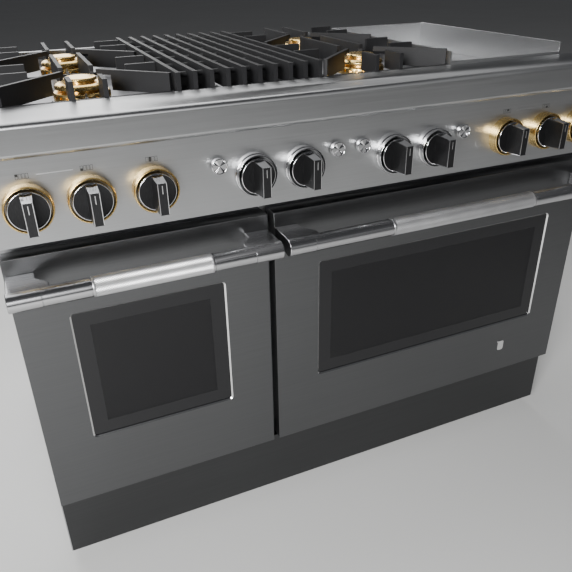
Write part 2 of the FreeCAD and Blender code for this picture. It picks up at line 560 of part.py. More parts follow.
trim = box(-HALF + 8, HALF - 8, BACK_Y - 12, BACK_Y, PLATE_TOP, PLATE_TOP + 16)
slots = [box(i * 90.0 - 35, i * 90.0 + 35, BACK_Y - 8, BACK_Y - 4, PLATE_TOP + 8, PLATE_TOP + 17)
         for i in range(-6, 7)]
save("rear_trim", cut(trim, slots))

# ---- burners
BURNER_PORTS = 24
PORT_WIDTH = 2.4
CUP_R = 40.0              # cast cup under each burner
CUP_RIM_R = 54.0
PORT_RING_R = 50.0
PORT_RING_BORE_R = 34.0
CAP_R = 46.0
CAP_NECK_R = 33.5
TOP_NECK_R = 24.0
TOP_CAP_R = 29.0
SPARK_REACH = 58.5
SPARK_R = 4.0
SPARK_TIP_R = 1.5
bases = []
heads = []
for x, y in burners:
    base = fuse([cyl_z(CUP_R, x, y, WELL_FLOOR - 22, WELL_FLOOR + 1),
                 cyl_z(CUP_RIM_R, x, y, WELL_FLOOR, WELL_FLOOR + 5)])
    bases.append(base)
    spark = fuse([cyl_z(SPARK_R, x, y - SPARK_REACH, WELL_FLOOR, WELL_FLOOR + 14),
                  cyl_z(SPARK_TIP_R, x, y - SPARK_REACH, WELL_FLOOR + 14, WELL_FLOOR + 22)])
    bases.append(spark)
    low = cyl_z(PORT_RING_R, x, y, WELL_FLOOR + 5, WELL_FLOOR + 18)
    low = low.cut(cyl_z(PORT_RING_BORE_R, x, y, WELL_FLOOR, WELL_FLOOR + 30))
    ports = []
    for i in range(BURNER_PORTS):
        port = box(PORT_RING_BORE_R - 4, PORT_RING_R + 2, -PORT_WIDTH / 2, PORT_WIDTH / 2,
                   WELL_FLOOR + 11, WELL_FLOOR + 19)
        port.rotate(V(0, 0, 0), V(0, 0, 1), i * 360.0 / BURNER_PORTS)
        port.translate(V(x, y, 0))
        ports.append(port)
    heads.append(cut(low, ports))
    cap = fuse([cyl_z(CAP_NECK_R, x, y, WELL_FLOOR + 5, WELL_FLOOR + 22),
                cyl_z(CAP_R, x, y, WELL_FLOOR + 22, WELL_FLOOR + 32),
                cyl_z(TOP_NECK_R, x, y, WELL_FLOOR + 31, WELL_FLOOR + 35),
                cyl_z(TOP_CAP_R, x, y, WELL_FLOOR + 34, WELL_FLOOR + 41)])
    heads.append(cap)
save("burner_bases", bases)
save("burner_heads", heads)

# ---- burner grates
LOW_BAR = (PLATE_TOP, PLATE_TOP + 6)
FINGER_REACH = 56.0
FINGER_BOTTOM = GRATE_TOP - 9


def grate(cx):
    z0, z1 = PLATE_TOP + 1, GRATE_TOP
    low, high = LOW_BAR
    pieces = [box(cx - COLUMN_HALF, cx + COLUMN_HALF, y, y + BAR_THICK, low, high)
              for y in (GRATE_FRONT, 381.0, GRATE_BACK - BAR_THICK)]
    for sign in (-1, 1):
        xa, xb = sorted((cx + sign * COLUMN_HALF, cx + sign * (COLUMN_HALF - BAR_THICK)))
        pieces.append(box(xa, xb, GRATE_FRONT, GRATE_BACK, low, high))
        pieces += [blade(cx + sign * 27, y0, cx + sign * 27, y1, z0, z1, BAR_THICK)
                   for y0, y1 in ((GRATE_FRONT, 168.0), (271.0, 461.0), (545.0, GRATE_BACK))]
        pieces += [blade(cx + sign * 85, y, cx + sign * COLUMN_HALF, y, z0, z1, BAR_THICK)
                   for y in (251.0, 350.0, 545.0, 638.0)]
        pieces.append(blade(cx + sign * 31, 226.0, cx + sign * 137, 118.0, z0, z1, BAR_THICK))
        pieces.append(blade(cx + sign * 31, 526.0, cx + sign * 137, 417.0, z0, z1, BAR_THICK))
    return cut(fuse(pieces), [cyl_z(FINGER_REACH, cx, y, PLATE_TOP, FINGER_BOTTOM) for y in BURNER_Y])


save("grate_left", grate(LEFT_COLUMN))
save("grate_right", grate(RIGHT_COLUMN))

# ---- grill grate
grill = []
for i in range(GRILL_BARS):
    x = GRILL_FIRST_X + i * GRILL_PITCH
    grill.append(box(x - BAR_THICK / 2, x + BAR_THICK / 2, GRATE_FRONT, GRATE_BACK, PLATE_TOP + 1, GRATE_TOP))
last_x = GRILL_FIRST_X + (GRILL_BARS - 1) * GRILL_PITCH
rods = [GRILL_ROD_FIRST_Y + i * GRILL_ROD_PITCH for i in range(GRILL_RODS)]
grill += [cyl_x(GRILL_ROD_R, GRILL_FIRST_X, last_x, y, GRATE_TOP - 6 - GRILL_ROD_R) for y in rods]
grill += [box(x - BAR_THICK / 2, x + BAR_THICK / 2, y0, y0 + 5, PLATE_TOP, PLATE_TOP + 2)
          for x in (GRILL_FIRST_X, last_x) for y0 in (GRATE_FRONT, GRATE_BACK - 5)]
save("grill_grate", fuse(grill))

# ---- griddle
tub = (GRIDDLE[0] + TUB_FIT, GRIDDLE[1] - TUB_FIT)
tub_inner = (tub[0] + TUB_WALL, tub[1] - TUB_WALL)
ledge_top = GRIDDLE_TOP - GRIDDLE_THICK - 0.2
ledge_bottom = ledge_top - TUB_WALL
walls = [box(tub[0], tub_inner[0], TUB_FRONT, TUB_BACK, ledge_bottom, SPLASH_TOP),
         box(tub_inner[1], tub[1], TUB_FRONT, TUB_BACK, ledge_bottom, SPLASH_TOP),
         box(tub[0], tub[1], GRIDDLE_BACK, TUB_BACK, ledge_bottom, SPLASH_TOP),
         box(tub[0], tub[1], TUB_FRONT, GRIDDLE_FRONT, ledge_bottom, LIP_TOP)]
flange = box(GRIDDLE[0] - 4, GRIDDLE[1] + 6, RAIL_BACK + 4, POCKET_BACK + 8, PLATE_TOP, PLATE_TOP + 2)
flange = flange.cut(box(tub[0], tub[1], TUB_FRONT, TUB_BACK, PLATE_TOP - 1, PLATE_TOP + 3))
ledge = box(tub[0], tub[1], TUB_FRONT, TUB_BACK, ledge_bottom, ledge_top)
ledge = ledge.cut(box(tub_inner[0] + TUB_LEDGE, tub_inner[1] - TUB_LEDGE, GRIDDLE_FRONT + TUB_LEDGE,
                      GRIDDLE_BACK - TUB_LEDGE, ledge_bottom - 1, ledge_top + 1))
save("griddle_surround", fuse([flange, ledge] + walls))

PLATE_FIT = 1.5
TROUGH_SIDE = 14.0
TROUGH_FRONT = 8.0
TROUGH_WIDTH = 26.0
TROUGH_DEPTH = 7.0
plate_x = (tub_inner[0] + PLATE_FIT, tub_inner[1] - PLATE_FIT)
plate_y = (GRIDDLE_FRONT + PLATE_FIT, GRIDDLE_BACK - PLATE_FIT)
slab = box(plate_x[0], plate_x[1], plate_y[0], plate_y[1], GRIDDLE_TOP - GRIDDLE_THICK, GRIDDLE_TOP)
trough = round_z(plate_x[0] + TROUGH_SIDE, plate_x[1] - TROUGH_SIDE, plate_y[0] + TROUGH_FRONT,
                 plate_y[0] + TROUGH_FRONT + TROUGH_WIDTH, GRIDDLE_TOP - TROUGH_DEPTH, GRIDDLE_TOP + 1, 10)
save("griddle_plate", slab.cut(trough))

# ---- tube burners under the grill and the griddle
TUBE_R = 12.0
TUBE_END = 30.0           # from each tube's end to the pit wall
TUBE_FOOT = 60.0          # from each support to the pit wall
TUBE_HEIGHT = 38.0
FOOT_WIDTH = 10.0
FOOT_THICK = 6.0
tubes = []
for (x0, x1), back in zip(PITS, (POCKET_BACK, GRIDDLE_BACK)):
    for share in (0.3, 0.7):
        x = x0 + (x1 - x0) * share
        tube = [cyl_y(TUBE_R, x, POCKET_FRONT + TUBE_END, back - TUBE_END, PIT_FLOOR + TUBE_HEIGHT)]
        tube += [box(x - FOOT_WIDTH / 2, x + FOOT_WIDTH / 2, y, y + FOOT_THICK, PIT_FLOOR,
                     PIT_FLOOR + TUBE_HEIGHT - TUBE_R / 2)
                 for y in (POCKET_FRONT + TUBE_FOOT, back - TUBE_FOOT - FOOT_THICK)]
        tubes.append(fuse(tube))
save("tube_burners", tubes)
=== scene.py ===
import bpy
import json
from math import atan2, cos, hypot, pi, radians, sin
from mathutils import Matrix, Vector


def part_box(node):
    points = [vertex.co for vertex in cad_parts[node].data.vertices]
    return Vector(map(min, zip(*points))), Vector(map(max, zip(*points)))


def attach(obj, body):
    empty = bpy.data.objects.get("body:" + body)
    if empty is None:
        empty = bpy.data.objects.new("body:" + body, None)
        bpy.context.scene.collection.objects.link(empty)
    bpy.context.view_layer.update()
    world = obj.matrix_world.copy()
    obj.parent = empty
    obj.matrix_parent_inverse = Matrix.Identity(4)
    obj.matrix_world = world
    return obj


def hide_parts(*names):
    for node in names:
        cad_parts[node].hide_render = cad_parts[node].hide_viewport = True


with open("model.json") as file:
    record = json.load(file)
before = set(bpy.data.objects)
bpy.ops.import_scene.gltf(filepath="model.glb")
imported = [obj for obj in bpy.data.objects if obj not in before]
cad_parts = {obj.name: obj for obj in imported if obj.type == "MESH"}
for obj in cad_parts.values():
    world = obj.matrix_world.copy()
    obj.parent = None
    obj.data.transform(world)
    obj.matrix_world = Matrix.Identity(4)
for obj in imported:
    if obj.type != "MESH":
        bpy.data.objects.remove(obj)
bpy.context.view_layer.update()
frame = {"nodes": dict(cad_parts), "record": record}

# ---- Camera, floor and lights
# A standing cook's view from the front left, over a plain pale floor. One soft box lights the front,
# two more light the cooktop from above and from behind, and a dim pale sky fills the rest.
bpy.ops.object.select_all(action="DESELECT")
bpy.ops.object.camera_add(location=(-0.5366, -1.2686, 1.118),
                          rotation=(radians(62.72), radians(1.03), radians(-23.41)))
camera = bpy.context.object
camera.data.lens = 38.74
camera.data.sensor_width = 36.0
camera.data.shift_x = 0.0065
camera.data.shift_y = -0.0241
bpy.context.scene.camera = camera

bpy.ops.mesh.primitive_plane_add(size=60.0)
floor = bpy.context.object
floor.name = "floor"

sky = bpy.data.worlds.new("studio")
bpy.context.scene.world = sky
sky.use_nodes = True
sky.node_tree.nodes["Background"].inputs["Color"].default_value = (0.93, 0.95, 1.0, 1.0)
sky.node_tree.nodes["Background"].inputs["Strength"].default_value = 0.07

for name, where, aim, size, power in (
        ("key", (-2.1, -2.5, 1.9), (-0.5, -0.4, 0.85), 1.2, 215.0),
        ("top", (-0.3, 1.3, 2.9), (0.0, 0.1, 0.9), 2.6, 60.0),
        ("back", (-0.4, 3.4, 1.9), (-0.2, 0.2, 0.9), 1.8, 40.0)):
    bpy.ops.object.light_add(type="AREA", location=where)
    lamp = bpy.context.object
    lamp.name = name
    lamp.data.shape = "SQUARE"
    lamp.data.size = size
    lamp.data.energy = power
    across = (aim[0] - where[0], aim[1] - where[1])
    reach = hypot(*across)
    lamp.rotation_euler = (atan2(reach, where[2] - aim[2]), 0.0, atan2(across[1], across[0]) - pi / 2)


class Term:
    """A socket that can be calculated with: each sum or product adds its Math node."""

    def __init__(self, finish, socket):
        self.finish = finish
        self.socket = socket

    def __add__(self, other):
        return self.finish.node("ShaderNodeMath", {"operation": "ADD"}, [self, other])

    def __sub__(self, other):
        return self.finish.node("ShaderNodeMath", {"operation": "SUBTRACT"}, [self, other])

    def __rsub__(self, other):
        return self.finish.node("ShaderNodeMath", {"operation": "SUBTRACT"}, [other, self])

    def __mul__(self, other):
        return self.finish.node("ShaderNodeMath", {"operation": "MULTIPLY"}, [self, other])

    def __gt__(self, other):
        return self.finish.node("ShaderNodeMath", {"operation": "GREATER_THAN"}, [self, other])

    def __lt__(self, other):
        return self.finish.node("ShaderNodeMath", {"operation": "LESS_THAN"}, [self, other])

    __radd__ = __add__
    __rmul__ = __mul__


class Finish:
    """A material in the making. node() adds any node, and give() fills the main shader's sockets."""

    def __init__(self, name, **sockets):
        self.material = bpy.data.materials.new(name)
        self.material.use_nodes = True
        self.tree = self.material.node_tree
        self.shader = self.tree.nodes["Principled BSDF"]
        self.place = self.node("ShaderNodeTexCoord", output="Object")
        self.give(**sockets)

    def fill(self, socket, value):
        if isinstance(value, Term):
            self.tree.links.new(value.socket, socket)
        elif isinstance(value, tuple) and socket.type == "RGBA":
            socket.default_value = value + (1.0,) * (4 - len(value))
        else:
            socket.default_value = value

    def node(self, kind, settings=None, inputs=None, output=0):
        made = self.tree.nodes.new(kind)
        for key, value in (settings or {}).items():
            setattr(made, key, value)
        pairs = enumerate(inputs) if isinstance(inputs, list) else (inputs or {}).items()
        for key, value in pairs:
            self.fill(made.inputs[key], value)
        return Term(self, made.outputs[output])

    def give(self, **sockets):
        for key, value in sockets.items():
            self.fill(self.shader.inputs[key.replace("_", " ").title().replace("Ior", "IOR")], value)

    def noise(self, scale, stretch=(1.0, 1.0, 1.0), detail=2.0, roughness=0.5):
        spread = self.node("ShaderNodeMapping", inputs={"Vector": self.place, "Scale": stretch})
        return self.node("ShaderNodeTexNoise", inputs={
            "Vector": spread, "Scale": scale, "Detail": detail, "Roughness": roughness})

    def axis(self, letter):
        return self.node("ShaderNodeSeparateXYZ", inputs=[self.place], output=letter)

    def blend(self, mask, low, high):
        mix = {"data_type": "RGBA"}
        return self.node("ShaderNodeMix", mix, {0: mask, 6: low, 7: high}, output=2)

    def bump(self, height, strength, distance):
        self.give(Normal=self.node("ShaderNodeBump", inputs={
            "Height": height, "Strength": strength, "Distance": distance}))


floor_paint = Finish("pale_floor", Roughness=0.75)
floor_cloud = floor_paint.noise(1.2, detail=3.0)
floor_paint.give(Base_Color=floor_paint.blend(floor_cloud, (0.62, 0.62, 0.61), (0.68, 0.68, 0.67)))
floor.data.materials.append(floor_paint.material)

# ---- Outer sheets, oven front and base tray
# Sheet steel about 2 mm thick, folded and brushed along its length. The folds leave edges with a
# small radius, and the hidden base and rear are plain galvanised sheet.
BODIES = frame["record"]["behaviour"]["bodies"]
BODY_OF = {node: body for body, nodes in BODIES.items() for node in nodes}


def brushed(name, dark, light, grain, rough=0.24, depth=0.2):
    """Brushed steel: fine lines along the axis with the small grain number, under faint clouding."""
    steel = Finish(name, Metallic=1.0, Anisotropic=0.7)
    lines = steel.noise(1.0, grain, detail=4.0, roughness=0.7)
    clouds = steel.noise(3.0, detail=3.0)
    mask = lines * 0.75 + clouds * 0.25
    steel.give(Base_Color=steel.blend(mask, dark, light), Roughness=rough + lines * 0.16 + clouds * 0.06)
    steel.bump(lines, depth, 0.0004)
    return steel


def pick(*pieces):
    """Makes these the only selected objects, the last one active."""
    bpy.ops.object.select_all(action="DESELECT")
    for piece in pieces:
        piece.select_set(True)
        bpy.context.view_layer.objects.active = piece


def settle(piece, finishes, body, node=None):
    """Gives a finished piece its finishes, its body, and the CAD nodes that it stands for."""
    if finishes:
        piece.data.materials.clear()
        for finish in finishes:
            piece.data.materials.append(finish.material)
    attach(piece, body)
    if node:
        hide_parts(*([node] if isinstance(node, str) else node))


def rounded(piece, width, segments=2, angle=35.0):
    """Rounds a piece's sharp edges and smooths its curved faces."""
    pick(piece)
    edge = piece.modifiers.new("edge", "BEVEL")
    edge.width = width
    edge.segments = segments
    edge.limit_method = "ANGLE"
    edge.angle_limit = radians(angle)
    bpy.ops.object.modifier_apply(modifier=edge.name)
    bpy.ops.object.shade_smooth_by_angle(angle=radians(angle))
    flat = piece.modifiers.new("flat", "WEIGHTED_NORMAL")
    flat.keep_sharp = True
    bpy.ops.object.modifier_apply(modifier=flat.name)


def edit_all():
    """Enters edit mode on the active piece with everything selected."""
    bpy.ops.object.mode_set(mode="EDIT")
    bpy.ops.mesh.select_all(action="SELECT")


def folded(node, finish, width=0.0008, segments=2, join_faces=True):
    """A piece with the shape of a CAD node, merged, with its sharp edges rounded."""
    piece = bpy.data.objects.new(node + "_sheet", frame["nodes"][node].data.copy())
    bpy.context.collection.objects.link(piece)
    pick(piece)
    bpy.ops.mesh.customdata_custom_splitnormals_clear()
    edit_all()
    bpy.ops.mesh.remove_doubles(threshold=0.00001)
    if join_faces:
        bpy.ops.mesh.dissolve_limited(angle_limit=radians(0.6))
    bpy.ops.object.mode_set(mode="OBJECT")
    rounded(piece, width, segments)
    settle(piece, [finish], BODY_OF[node], node)
    return piece


def dress(finish, *nodes):
    """Gives CAD nodes that keep their own shape a finish."""
    for node in nodes:
        part = frame["nodes"][node]
        for slot in part.material_slots:
            slot.material = finish.material


ALONG_X = (4.0, 900.0, 900.0)
ALONG_Y = (900.0, 4.0, 900.0)
front_steel = brushed("front_steel", (0.38, 0.384, 0.39), (0.54, 0.545, 0.55), ALONG_X)
# The door skins are the same stainless as the front, with painted shade: their colour is set much darker
# than the front's.
dark_steel = brushed("dark_steel", (0.095, 0.096, 0.099), (0.15, 0.152, 0.155), ALONG_X, 0.25)
# The kick is the same stainless too, with painted shade: darker still, as the shade in its recess below the
# doors.
kick_steel = brushed("kick_steel", (0.045, 0.046, 0.047), (0.095, 0.096, 0.098), ALONG_X, 0.3)
side_steel = brushed("side_steel", (0.40, 0.405, 0.41), (0.60, 0.605, 0.61), ALONG_Y, 0.3)
for side in ("left", "right"):
    folded("side_panel_" + side, side_steel)
folded("kick_panel", kick_steel)
folded("front_frame", front_steel, 0.0006)

galvanised = Finish("galvanised_sheet", Metallic=1.0)
spangle = galvanised.node("ShaderNodeTexVoronoi", inputs={"Vector": galvanised.place, "Scale": 160.0})
galvanised.give(Base_Color=galvanised.blend(spangle, (0.42, 0.43, 0.44), (0.60, 0.61, 0.62)),
                Roughness=0.38 + spangle * 0.2)
folded("rear_panel", galvanised, 0.0004)
folded("base_frame", galvanised)

# ---- Control panel and front rail
# The panel is one folded sheet of brushed stainless steel with holes for ten knobs and four buttons.
# The rail above it is a rolled bullnose that overhangs the panel and ends level with the cooktop.
folded("control_panel", front_steel, 0.0006)
folded("top_rail", front_steel, 0.0012, 3)

# ---- Cooktop pan, rear trim and griddle surround
# A pressed stainless pan with two burner wells and two deep pits. A folded tub hangs in the right
# pit, with a low front lip and high walls at its sides and back, and the griddle plate lies in it.
pan_steel = brushed("pan_steel", (0.20, 0.20, 0.21), (0.34, 0.34, 0.35), ALONG_X, 0.3)
folded("cooktop_pan", pan_steel, 0.0008)
folded("rear_trim", front_steel, 0.0008)
folded("griddle_surround", front_steel, 0.0008)
plate_steel = brushed("griddle_plate_steel", (0.34, 0.34, 0.345), (0.52, 0.52, 0.525), ALONG_Y, 0.28)
folded("griddle_plate", plate_steel, 0.001, 3)

# ---- Grates
# Cast iron, enamelled matte black: upright blades about 8 mm thick on a low frame, and between the
# two burner grates a grill of long bars on round cross rods. All three only rest in the pan.
iron = Finish("black_iron", Specular_IOR_Level=0.3)
sand = iron.noise(1400.0, detail=2.0)
wear = iron.noise(18.0, detail=4.0)
iron.give(Base_Color=iron.blend(wear, (0.007, 0.007, 0.008), (0.018, 0.018, 0.019)),
          Roughness=0.44 + sand * 0.22)
iron.bump(sand, 0.35, 0.0003)
for node in ("grate_left", "grate_right", "grill_grate"):
    folded(node, iron, 0.0014, 2)

# ---- Burners
# Turned and polished brass: a low ring with a row of flame ports, and a two-step cap that sits in
# it. Each stands in a cast cup, with a ceramic spark electrode in front.
brass = Finish("brass", Metallic=1.0)
brass.give(Base_Color=brass.blend(brass.noise(25.0, detail=3.0), (0.84, 0.56, 0.18), (0.98, 0.74, 0.34)),
           Roughness=0.24 + brass.noise(240.0, detail=3.0) * 0.06)
burner_alloy = Finish("cast_alloy", Metallic=1.0, Base_Color=(0.34, 0.34, 0.34))
alloy_grain = burner_alloy.noise(700.0)
burner_alloy.give(Roughness=0.35 + alloy_grain * 0.25)
burner_alloy.bump(alloy_grain, 0.2, 0.0002)
ceramic = Finish("white_ceramic", Coat_Weight=0.4)
ceramic.give(Base_Color=ceramic.blend(ceramic.noise(90.0), (0.80, 0.78, 0.74), (0.88, 0.87, 0.84)),
             Roughness=0.3 + ceramic.noise(300.0) * 0.1)


def leave_closed():
    """Turns every face of the piece in edit mode outwards and leaves edit mode."""
    bpy.ops.mesh.select_all(action="SELECT")
    bpy.ops.mesh.normals_make_consistent(inside=False)
    bpy.ops.object.mode_set(mode="OBJECT")


def turned(name, outline, sides=64, ring=False):
    """A lathe-turned shape about Z: a circle carried through steps of (radius, height)."""
    bpy.ops.object.select_all(action="DESELECT")
    radius, height = outline[0]
    bpy.ops.mesh.primitive_circle_add(vertices=sides, radius=radius, location=(0.0, 0.0, height),
                                      fill_type="NOTHING" if ring else "NGON")
    piece = bpy.context.object
    piece.name = name
    bpy.ops.object.transform_apply()
    bpy.context.tool_settings.mesh_select_mode = (False, True, False)
    edit_all()
    for next_radius, next_height in outline[1:]:
        bpy.ops.mesh.extrude_region_move(TRANSFORM_OT_translate={"value": (0.0, 0.0, next_height - height)})
        bpy.ops.transform.resize(value=(next_radius / radius, next_radius / radius, 1.0))
        radius, height = next_radius, next_height
    if ring:
        bpy.ops.mesh.select_all(action="DESELECT")
        bpy.ops.mesh.select_non_manifold()
        bpy.ops.mesh.bridge_edge_loops()
    leave_closed()
    return piece


def placed(model, name, where, turn=(0.0, 0.0, 0.0)):
    """A copy of a modelled piece with a mesh of its own, turned and set in place."""
    piece = model.copy()
    piece.data = model.data.copy()
    piece.name = name
    bpy.context.collection.objects.link(piece)
    piece.location = where
    piece.rotation_euler = turn
    pick(piece)
    bpy.ops.object.transform_apply()
    return piece


def joined(name, *pieces):
    """One named piece made of several."""
    pick(*pieces)
    bpy.ops.object.join()
    whole = bpy.context.object
    whole.name = name
    return whole


def bored(piece, cutter):
    """Cuts one closed shape out of another."""
    pick(piece)
    saw = piece.modifiers.new("saw", "BOOLEAN")
    saw.operation = "DIFFERENCE"
    saw.object = cutter
    bpy.ops.object.modifier_apply(modifier=saw.name)
    bpy.data.objects.remove(cutter)


CUP_DEPTH = 0.022
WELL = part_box("burner_bases")[0][2] + CUP_DEPTH
RING_FOOT = 0.005
RING_R = 0.050
SPARK_OUT = 0.0585
ring_model = turned("port_ring", [(RING_R, RING_FOOT), (RING_R, 0.0105), (RING_R, 0.0148), (0.0485, 0.0172),
                                  (0.0470, 0.0180), (0.036, 0.0180), (0.034, 0.0165), (0.034, RING_FOOT)],
                    96, ring=True)
PORTS = 24
PORT_R = 0.0028
PORT_Z = 0.0112
PORT_DEPTH = 0.016
bores = []
for index in range(PORTS):
    bpy.ops.object.select_all(action="DESELECT")
    around = 2 * pi * (index + 0.5) / PORTS
    bpy.ops.mesh.primitive_cylinder_add(vertices=20, radius=PORT_R, depth=PORT_DEPTH,
                                        location=(RING_R * cos(around), RING_R * sin(around), PORT_Z),
                                        rotation=(0.0, radians(90.0), around))
    bores.append(bpy.context.object)
bored(ring_model, joined("bores", *bores))
rounded(ring_model, 0.0003, 2, 40.0)

cap_model = turned("burner_cap", [(0.0335, RING_FOOT), (0.0335, 0.0215), (0.0445, 0.0222), (0.0462, 0.0236),
                                  (0.0462, 0.0268), (0.0440, 0.0300), (0.0400, 0.0322), (0.0245, 0.0326),
                                  (0.0245, 0.0350), (0.0282, 0.0354), (0.0290, 0.0364), (0.0290, 0.0385),
                                  (0.0268, 0.0408), (0.0220, 0.0413)], 96)
rounded(cap_model, 0.0004, 2, 30.0)
cup_model = turned("burner_cup", [(0.036, -CUP_DEPTH), (0.040, -0.020), (0.040, 0.0005), (0.0535, 0.0008),
                                  (0.0540, 0.0020), (0.0530, 0.0045), (0.030, 0.0048)], 72)
rounded(cup_model, 0.0004, 2)
spark_model = turned("spark_ceramic", [(0.0040, 0.0), (0.0040, 0.0090), (0.0030, 0.0100), (0.0030, 0.0140),
                                       (0.0022, 0.0150)], 24)
tip_model = turned("spark_tip", [(0.0012, 0.0148), (0.0012, 0.0205), (0.0006, 0.0218)], 16)
low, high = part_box("burner_heads")
columns = (low[0] + RING_R, high[0] - RING_R)
rows = (low[1] + RING_R, high[1] - RING_R)
rings, caps, cups, sparks, tips = [], [], [], [], []
for x in columns:
    for y in rows:
        spot = (x, y, WELL)
        front = (x, y - SPARK_OUT, WELL)
        rings.append(placed(ring_model, "port_ring", spot))
        caps.append(placed(cap_model, "burner_cap", spot))
        cups.append(placed(cup_model, "burner_cup", spot))
        sparks.append(placed(spark_model, "spark_ceramic", front))
        tips.append(placed(tip_model, "spark_tip", front))
settle(joined("burner_brass", *rings, *caps), [brass], "chassis", "burner_heads")
settle(joined("burner_cups", *cups), [burner_alloy], "chassis", "burner_bases")
settle(joined("spark_ceramics", *sparks), [ceramic], "chassis")
settle(joined("spark_tips", *tips), [galvanised], "chassis")
for model in (ring_model, cap_model, cup_model, spark_model, tip_model):
    bpy.data.objects.remove(model)

# ---- Knobs and their bezels
# Each knob is a chromed casting: a rimmed disc with two dark dished faces, and a tall tapered grip
# with dark sides and front and a bright pointer line. It turns inside a turned ring with a key notch
# at the top, brass for the burners and chromed for the ovens.
chrome = Finish("chrome", Base_Color=(0.74, 0.74, 0.75), Metallic=1.0)
chrome.give(Roughness=0.08 + chrome.noise(60.0, detail=3.0) * 0.08)
knob_black = Finish("knob_black", Metallic=0.85)
satin = knob_black.noise(900.0, (1.0, 1.0, 0.15), detail=3.0)
knob_black.give(Base_Color=knob_black.blend(satin, (0.020, 0.020, 0.021), (0.055, 0.055, 0.057)),
                Roughness=0.26 + satin * 0.14)
FRONT_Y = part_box("control_panel")[0][1]
FACING_FRONT = (radians(90.0), 0.0, 0.0)
DISC_R = 0.031
GRIP = (0.018, 0.058, 0.041)     # width, length and height of the grip where it leaves the disc
GRIP_TIP = (0.0150, 0.0520)
GRIP_MIDDLE_Z = 0.0395
GRIP_FACE_Z = 0.055
GRIP_RIM = (0.0011, 0.0013)      # bright edge left round the front and round the sides
GRIP_SINK = 0.0003
GRIP_SIDE_SHARE = 0.93           # the sides' middles are drawn in to this share
POINTER = (0.0013, 0.0135, 0.0008)
POINTER_AT = (0.0, 0.0155, 0.0598)
DARK_DISC_R = 0.0287


def block(size, where):
    """A box of a given size, set in place."""
    bpy.ops.object.select_all(action="DESELECT")
    bpy.ops.mesh.primitive_cube_add(size=1.0, location=where, scale=size)
    piece = bpy.context.object
    bpy.ops.object.transform_apply()
    return piece


def choose(piece, test):
    """Enters edit mode with only the faces that pass a test selected."""
    pick(piece)
    bpy.context.tool_settings.mesh_select_mode = (False, False, True)
    for item in list(piece.data.vertices) + list(piece.data.edges):
        item.select = False
    for face in piece.data.polygons:
        face.select = test(face)
    bpy.ops.object.mode_set(mode="EDIT")


disc = turned("knob_disc", [(0.026, 0.006), (0.0305, 0.0065), (DISC_R, 0.0075), (DISC_R, 0.0214),
                            (0.0304, 0.0226), (0.0294, 0.0228), (0.0286, 0.0214), (0.020, 0.0205),
                            (0.008, 0.0202)], 96)
rounded(disc, 0.0003, 2, 28.0)
grip = block(GRIP, (0.0, 0.0, GRIP_MIDDLE_Z))
choose(grip, lambda f: f.normal.z > 0.9)
bpy.ops.transform.resize(value=(GRIP_TIP[0] / GRIP[0], GRIP_TIP[1] / GRIP[1], 1.0))
bpy.ops.mesh.inset(thickness=GRIP_RIM[0])
bpy.ops.transform.translate(value=(0.0, 0.0, -GRIP_SINK))
bpy.ops.object.mode_set(mode="OBJECT")
choose(grip, lambda f: abs(f.normal.x) > 0.9)
bpy.ops.mesh.inset(thickness=GRIP_RIM[1], use_individual=True)
bpy.ops.transform.resize(value=(GRIP_SIDE_SHARE, 1.0, 1.0))
bpy.ops.object.mode_set(mode="OBJECT")
rounded(grip, 0.0004, 2, 30.0)
pointer = block(POINTER, POINTER_AT)
rounded(pointer, 0.0002)
for piece in (disc, grip, pointer):
    piece.data.materials.append(chrome.material)
    piece.data.materials.append(knob_black.material)
for face in disc.data.polygons:
    if face.normal.z > 0.8 and hypot(face.center.x, face.center.y) < DARK_DISC_R:
        face.material_index = 1
for face in grip.data.polygons:
    flat_front = face.normal.z > 0.95 and face.center.z > GRIP_FACE_Z and abs(face.center.x) < 0.006
    flat_side = abs(face.normal.x) > 0.9 and face.area > 0.0004
    if flat_front or flat_side:
        face.material_index = 1
knob_model = joined("knob", disc, grip, pointer)

NOTCH_DEPTH = 0.0012
NOTCH_SHARE = 1.055
NOTCH_HALF = radians(14.0)


def on_panel(node):
    """The point on the panel's face behind the middle of a CAD node."""
    low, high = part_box(node)
    return ((low[0] + high[0]) / 2, FRONT_Y, (low[2] + high[2]) / 2)


def swell(piece, share, test):
    """Scales the points that pass a test away from the Z axis, or towards it."""
    choose(piece, lambda f: False)
    bpy.ops.object.mode_set(mode="OBJECT")
    bpy.context.tool_settings.mesh_select_mode = (True, False, False)
    for vertex in piece.data.vertices:
        vertex.select = test(vertex.co)
    bpy.ops.object.mode_set(mode="EDIT")
    bpy.ops.transform.resize(value=(share, share, 1.0), center_override=(0.0, 0.0, 0.0))
    bpy.ops.object.mode_set(mode="OBJECT")


def bezel(name, outline):
    """A turned ring with a key notch cut into the top of its bore."""
    ring = turned(name, outline, 96, ring=True)
    inner = min(radius for radius, height in outline) + NOTCH_DEPTH
    swell(ring, NOTCH_SHARE,
          lambda co: hypot(co.x, co.y) < inner and abs(atan2(co.x, co.y)) < NOTCH_HALF)
    rounded(ring, 0.0003, 2, 30.0)
    return ring


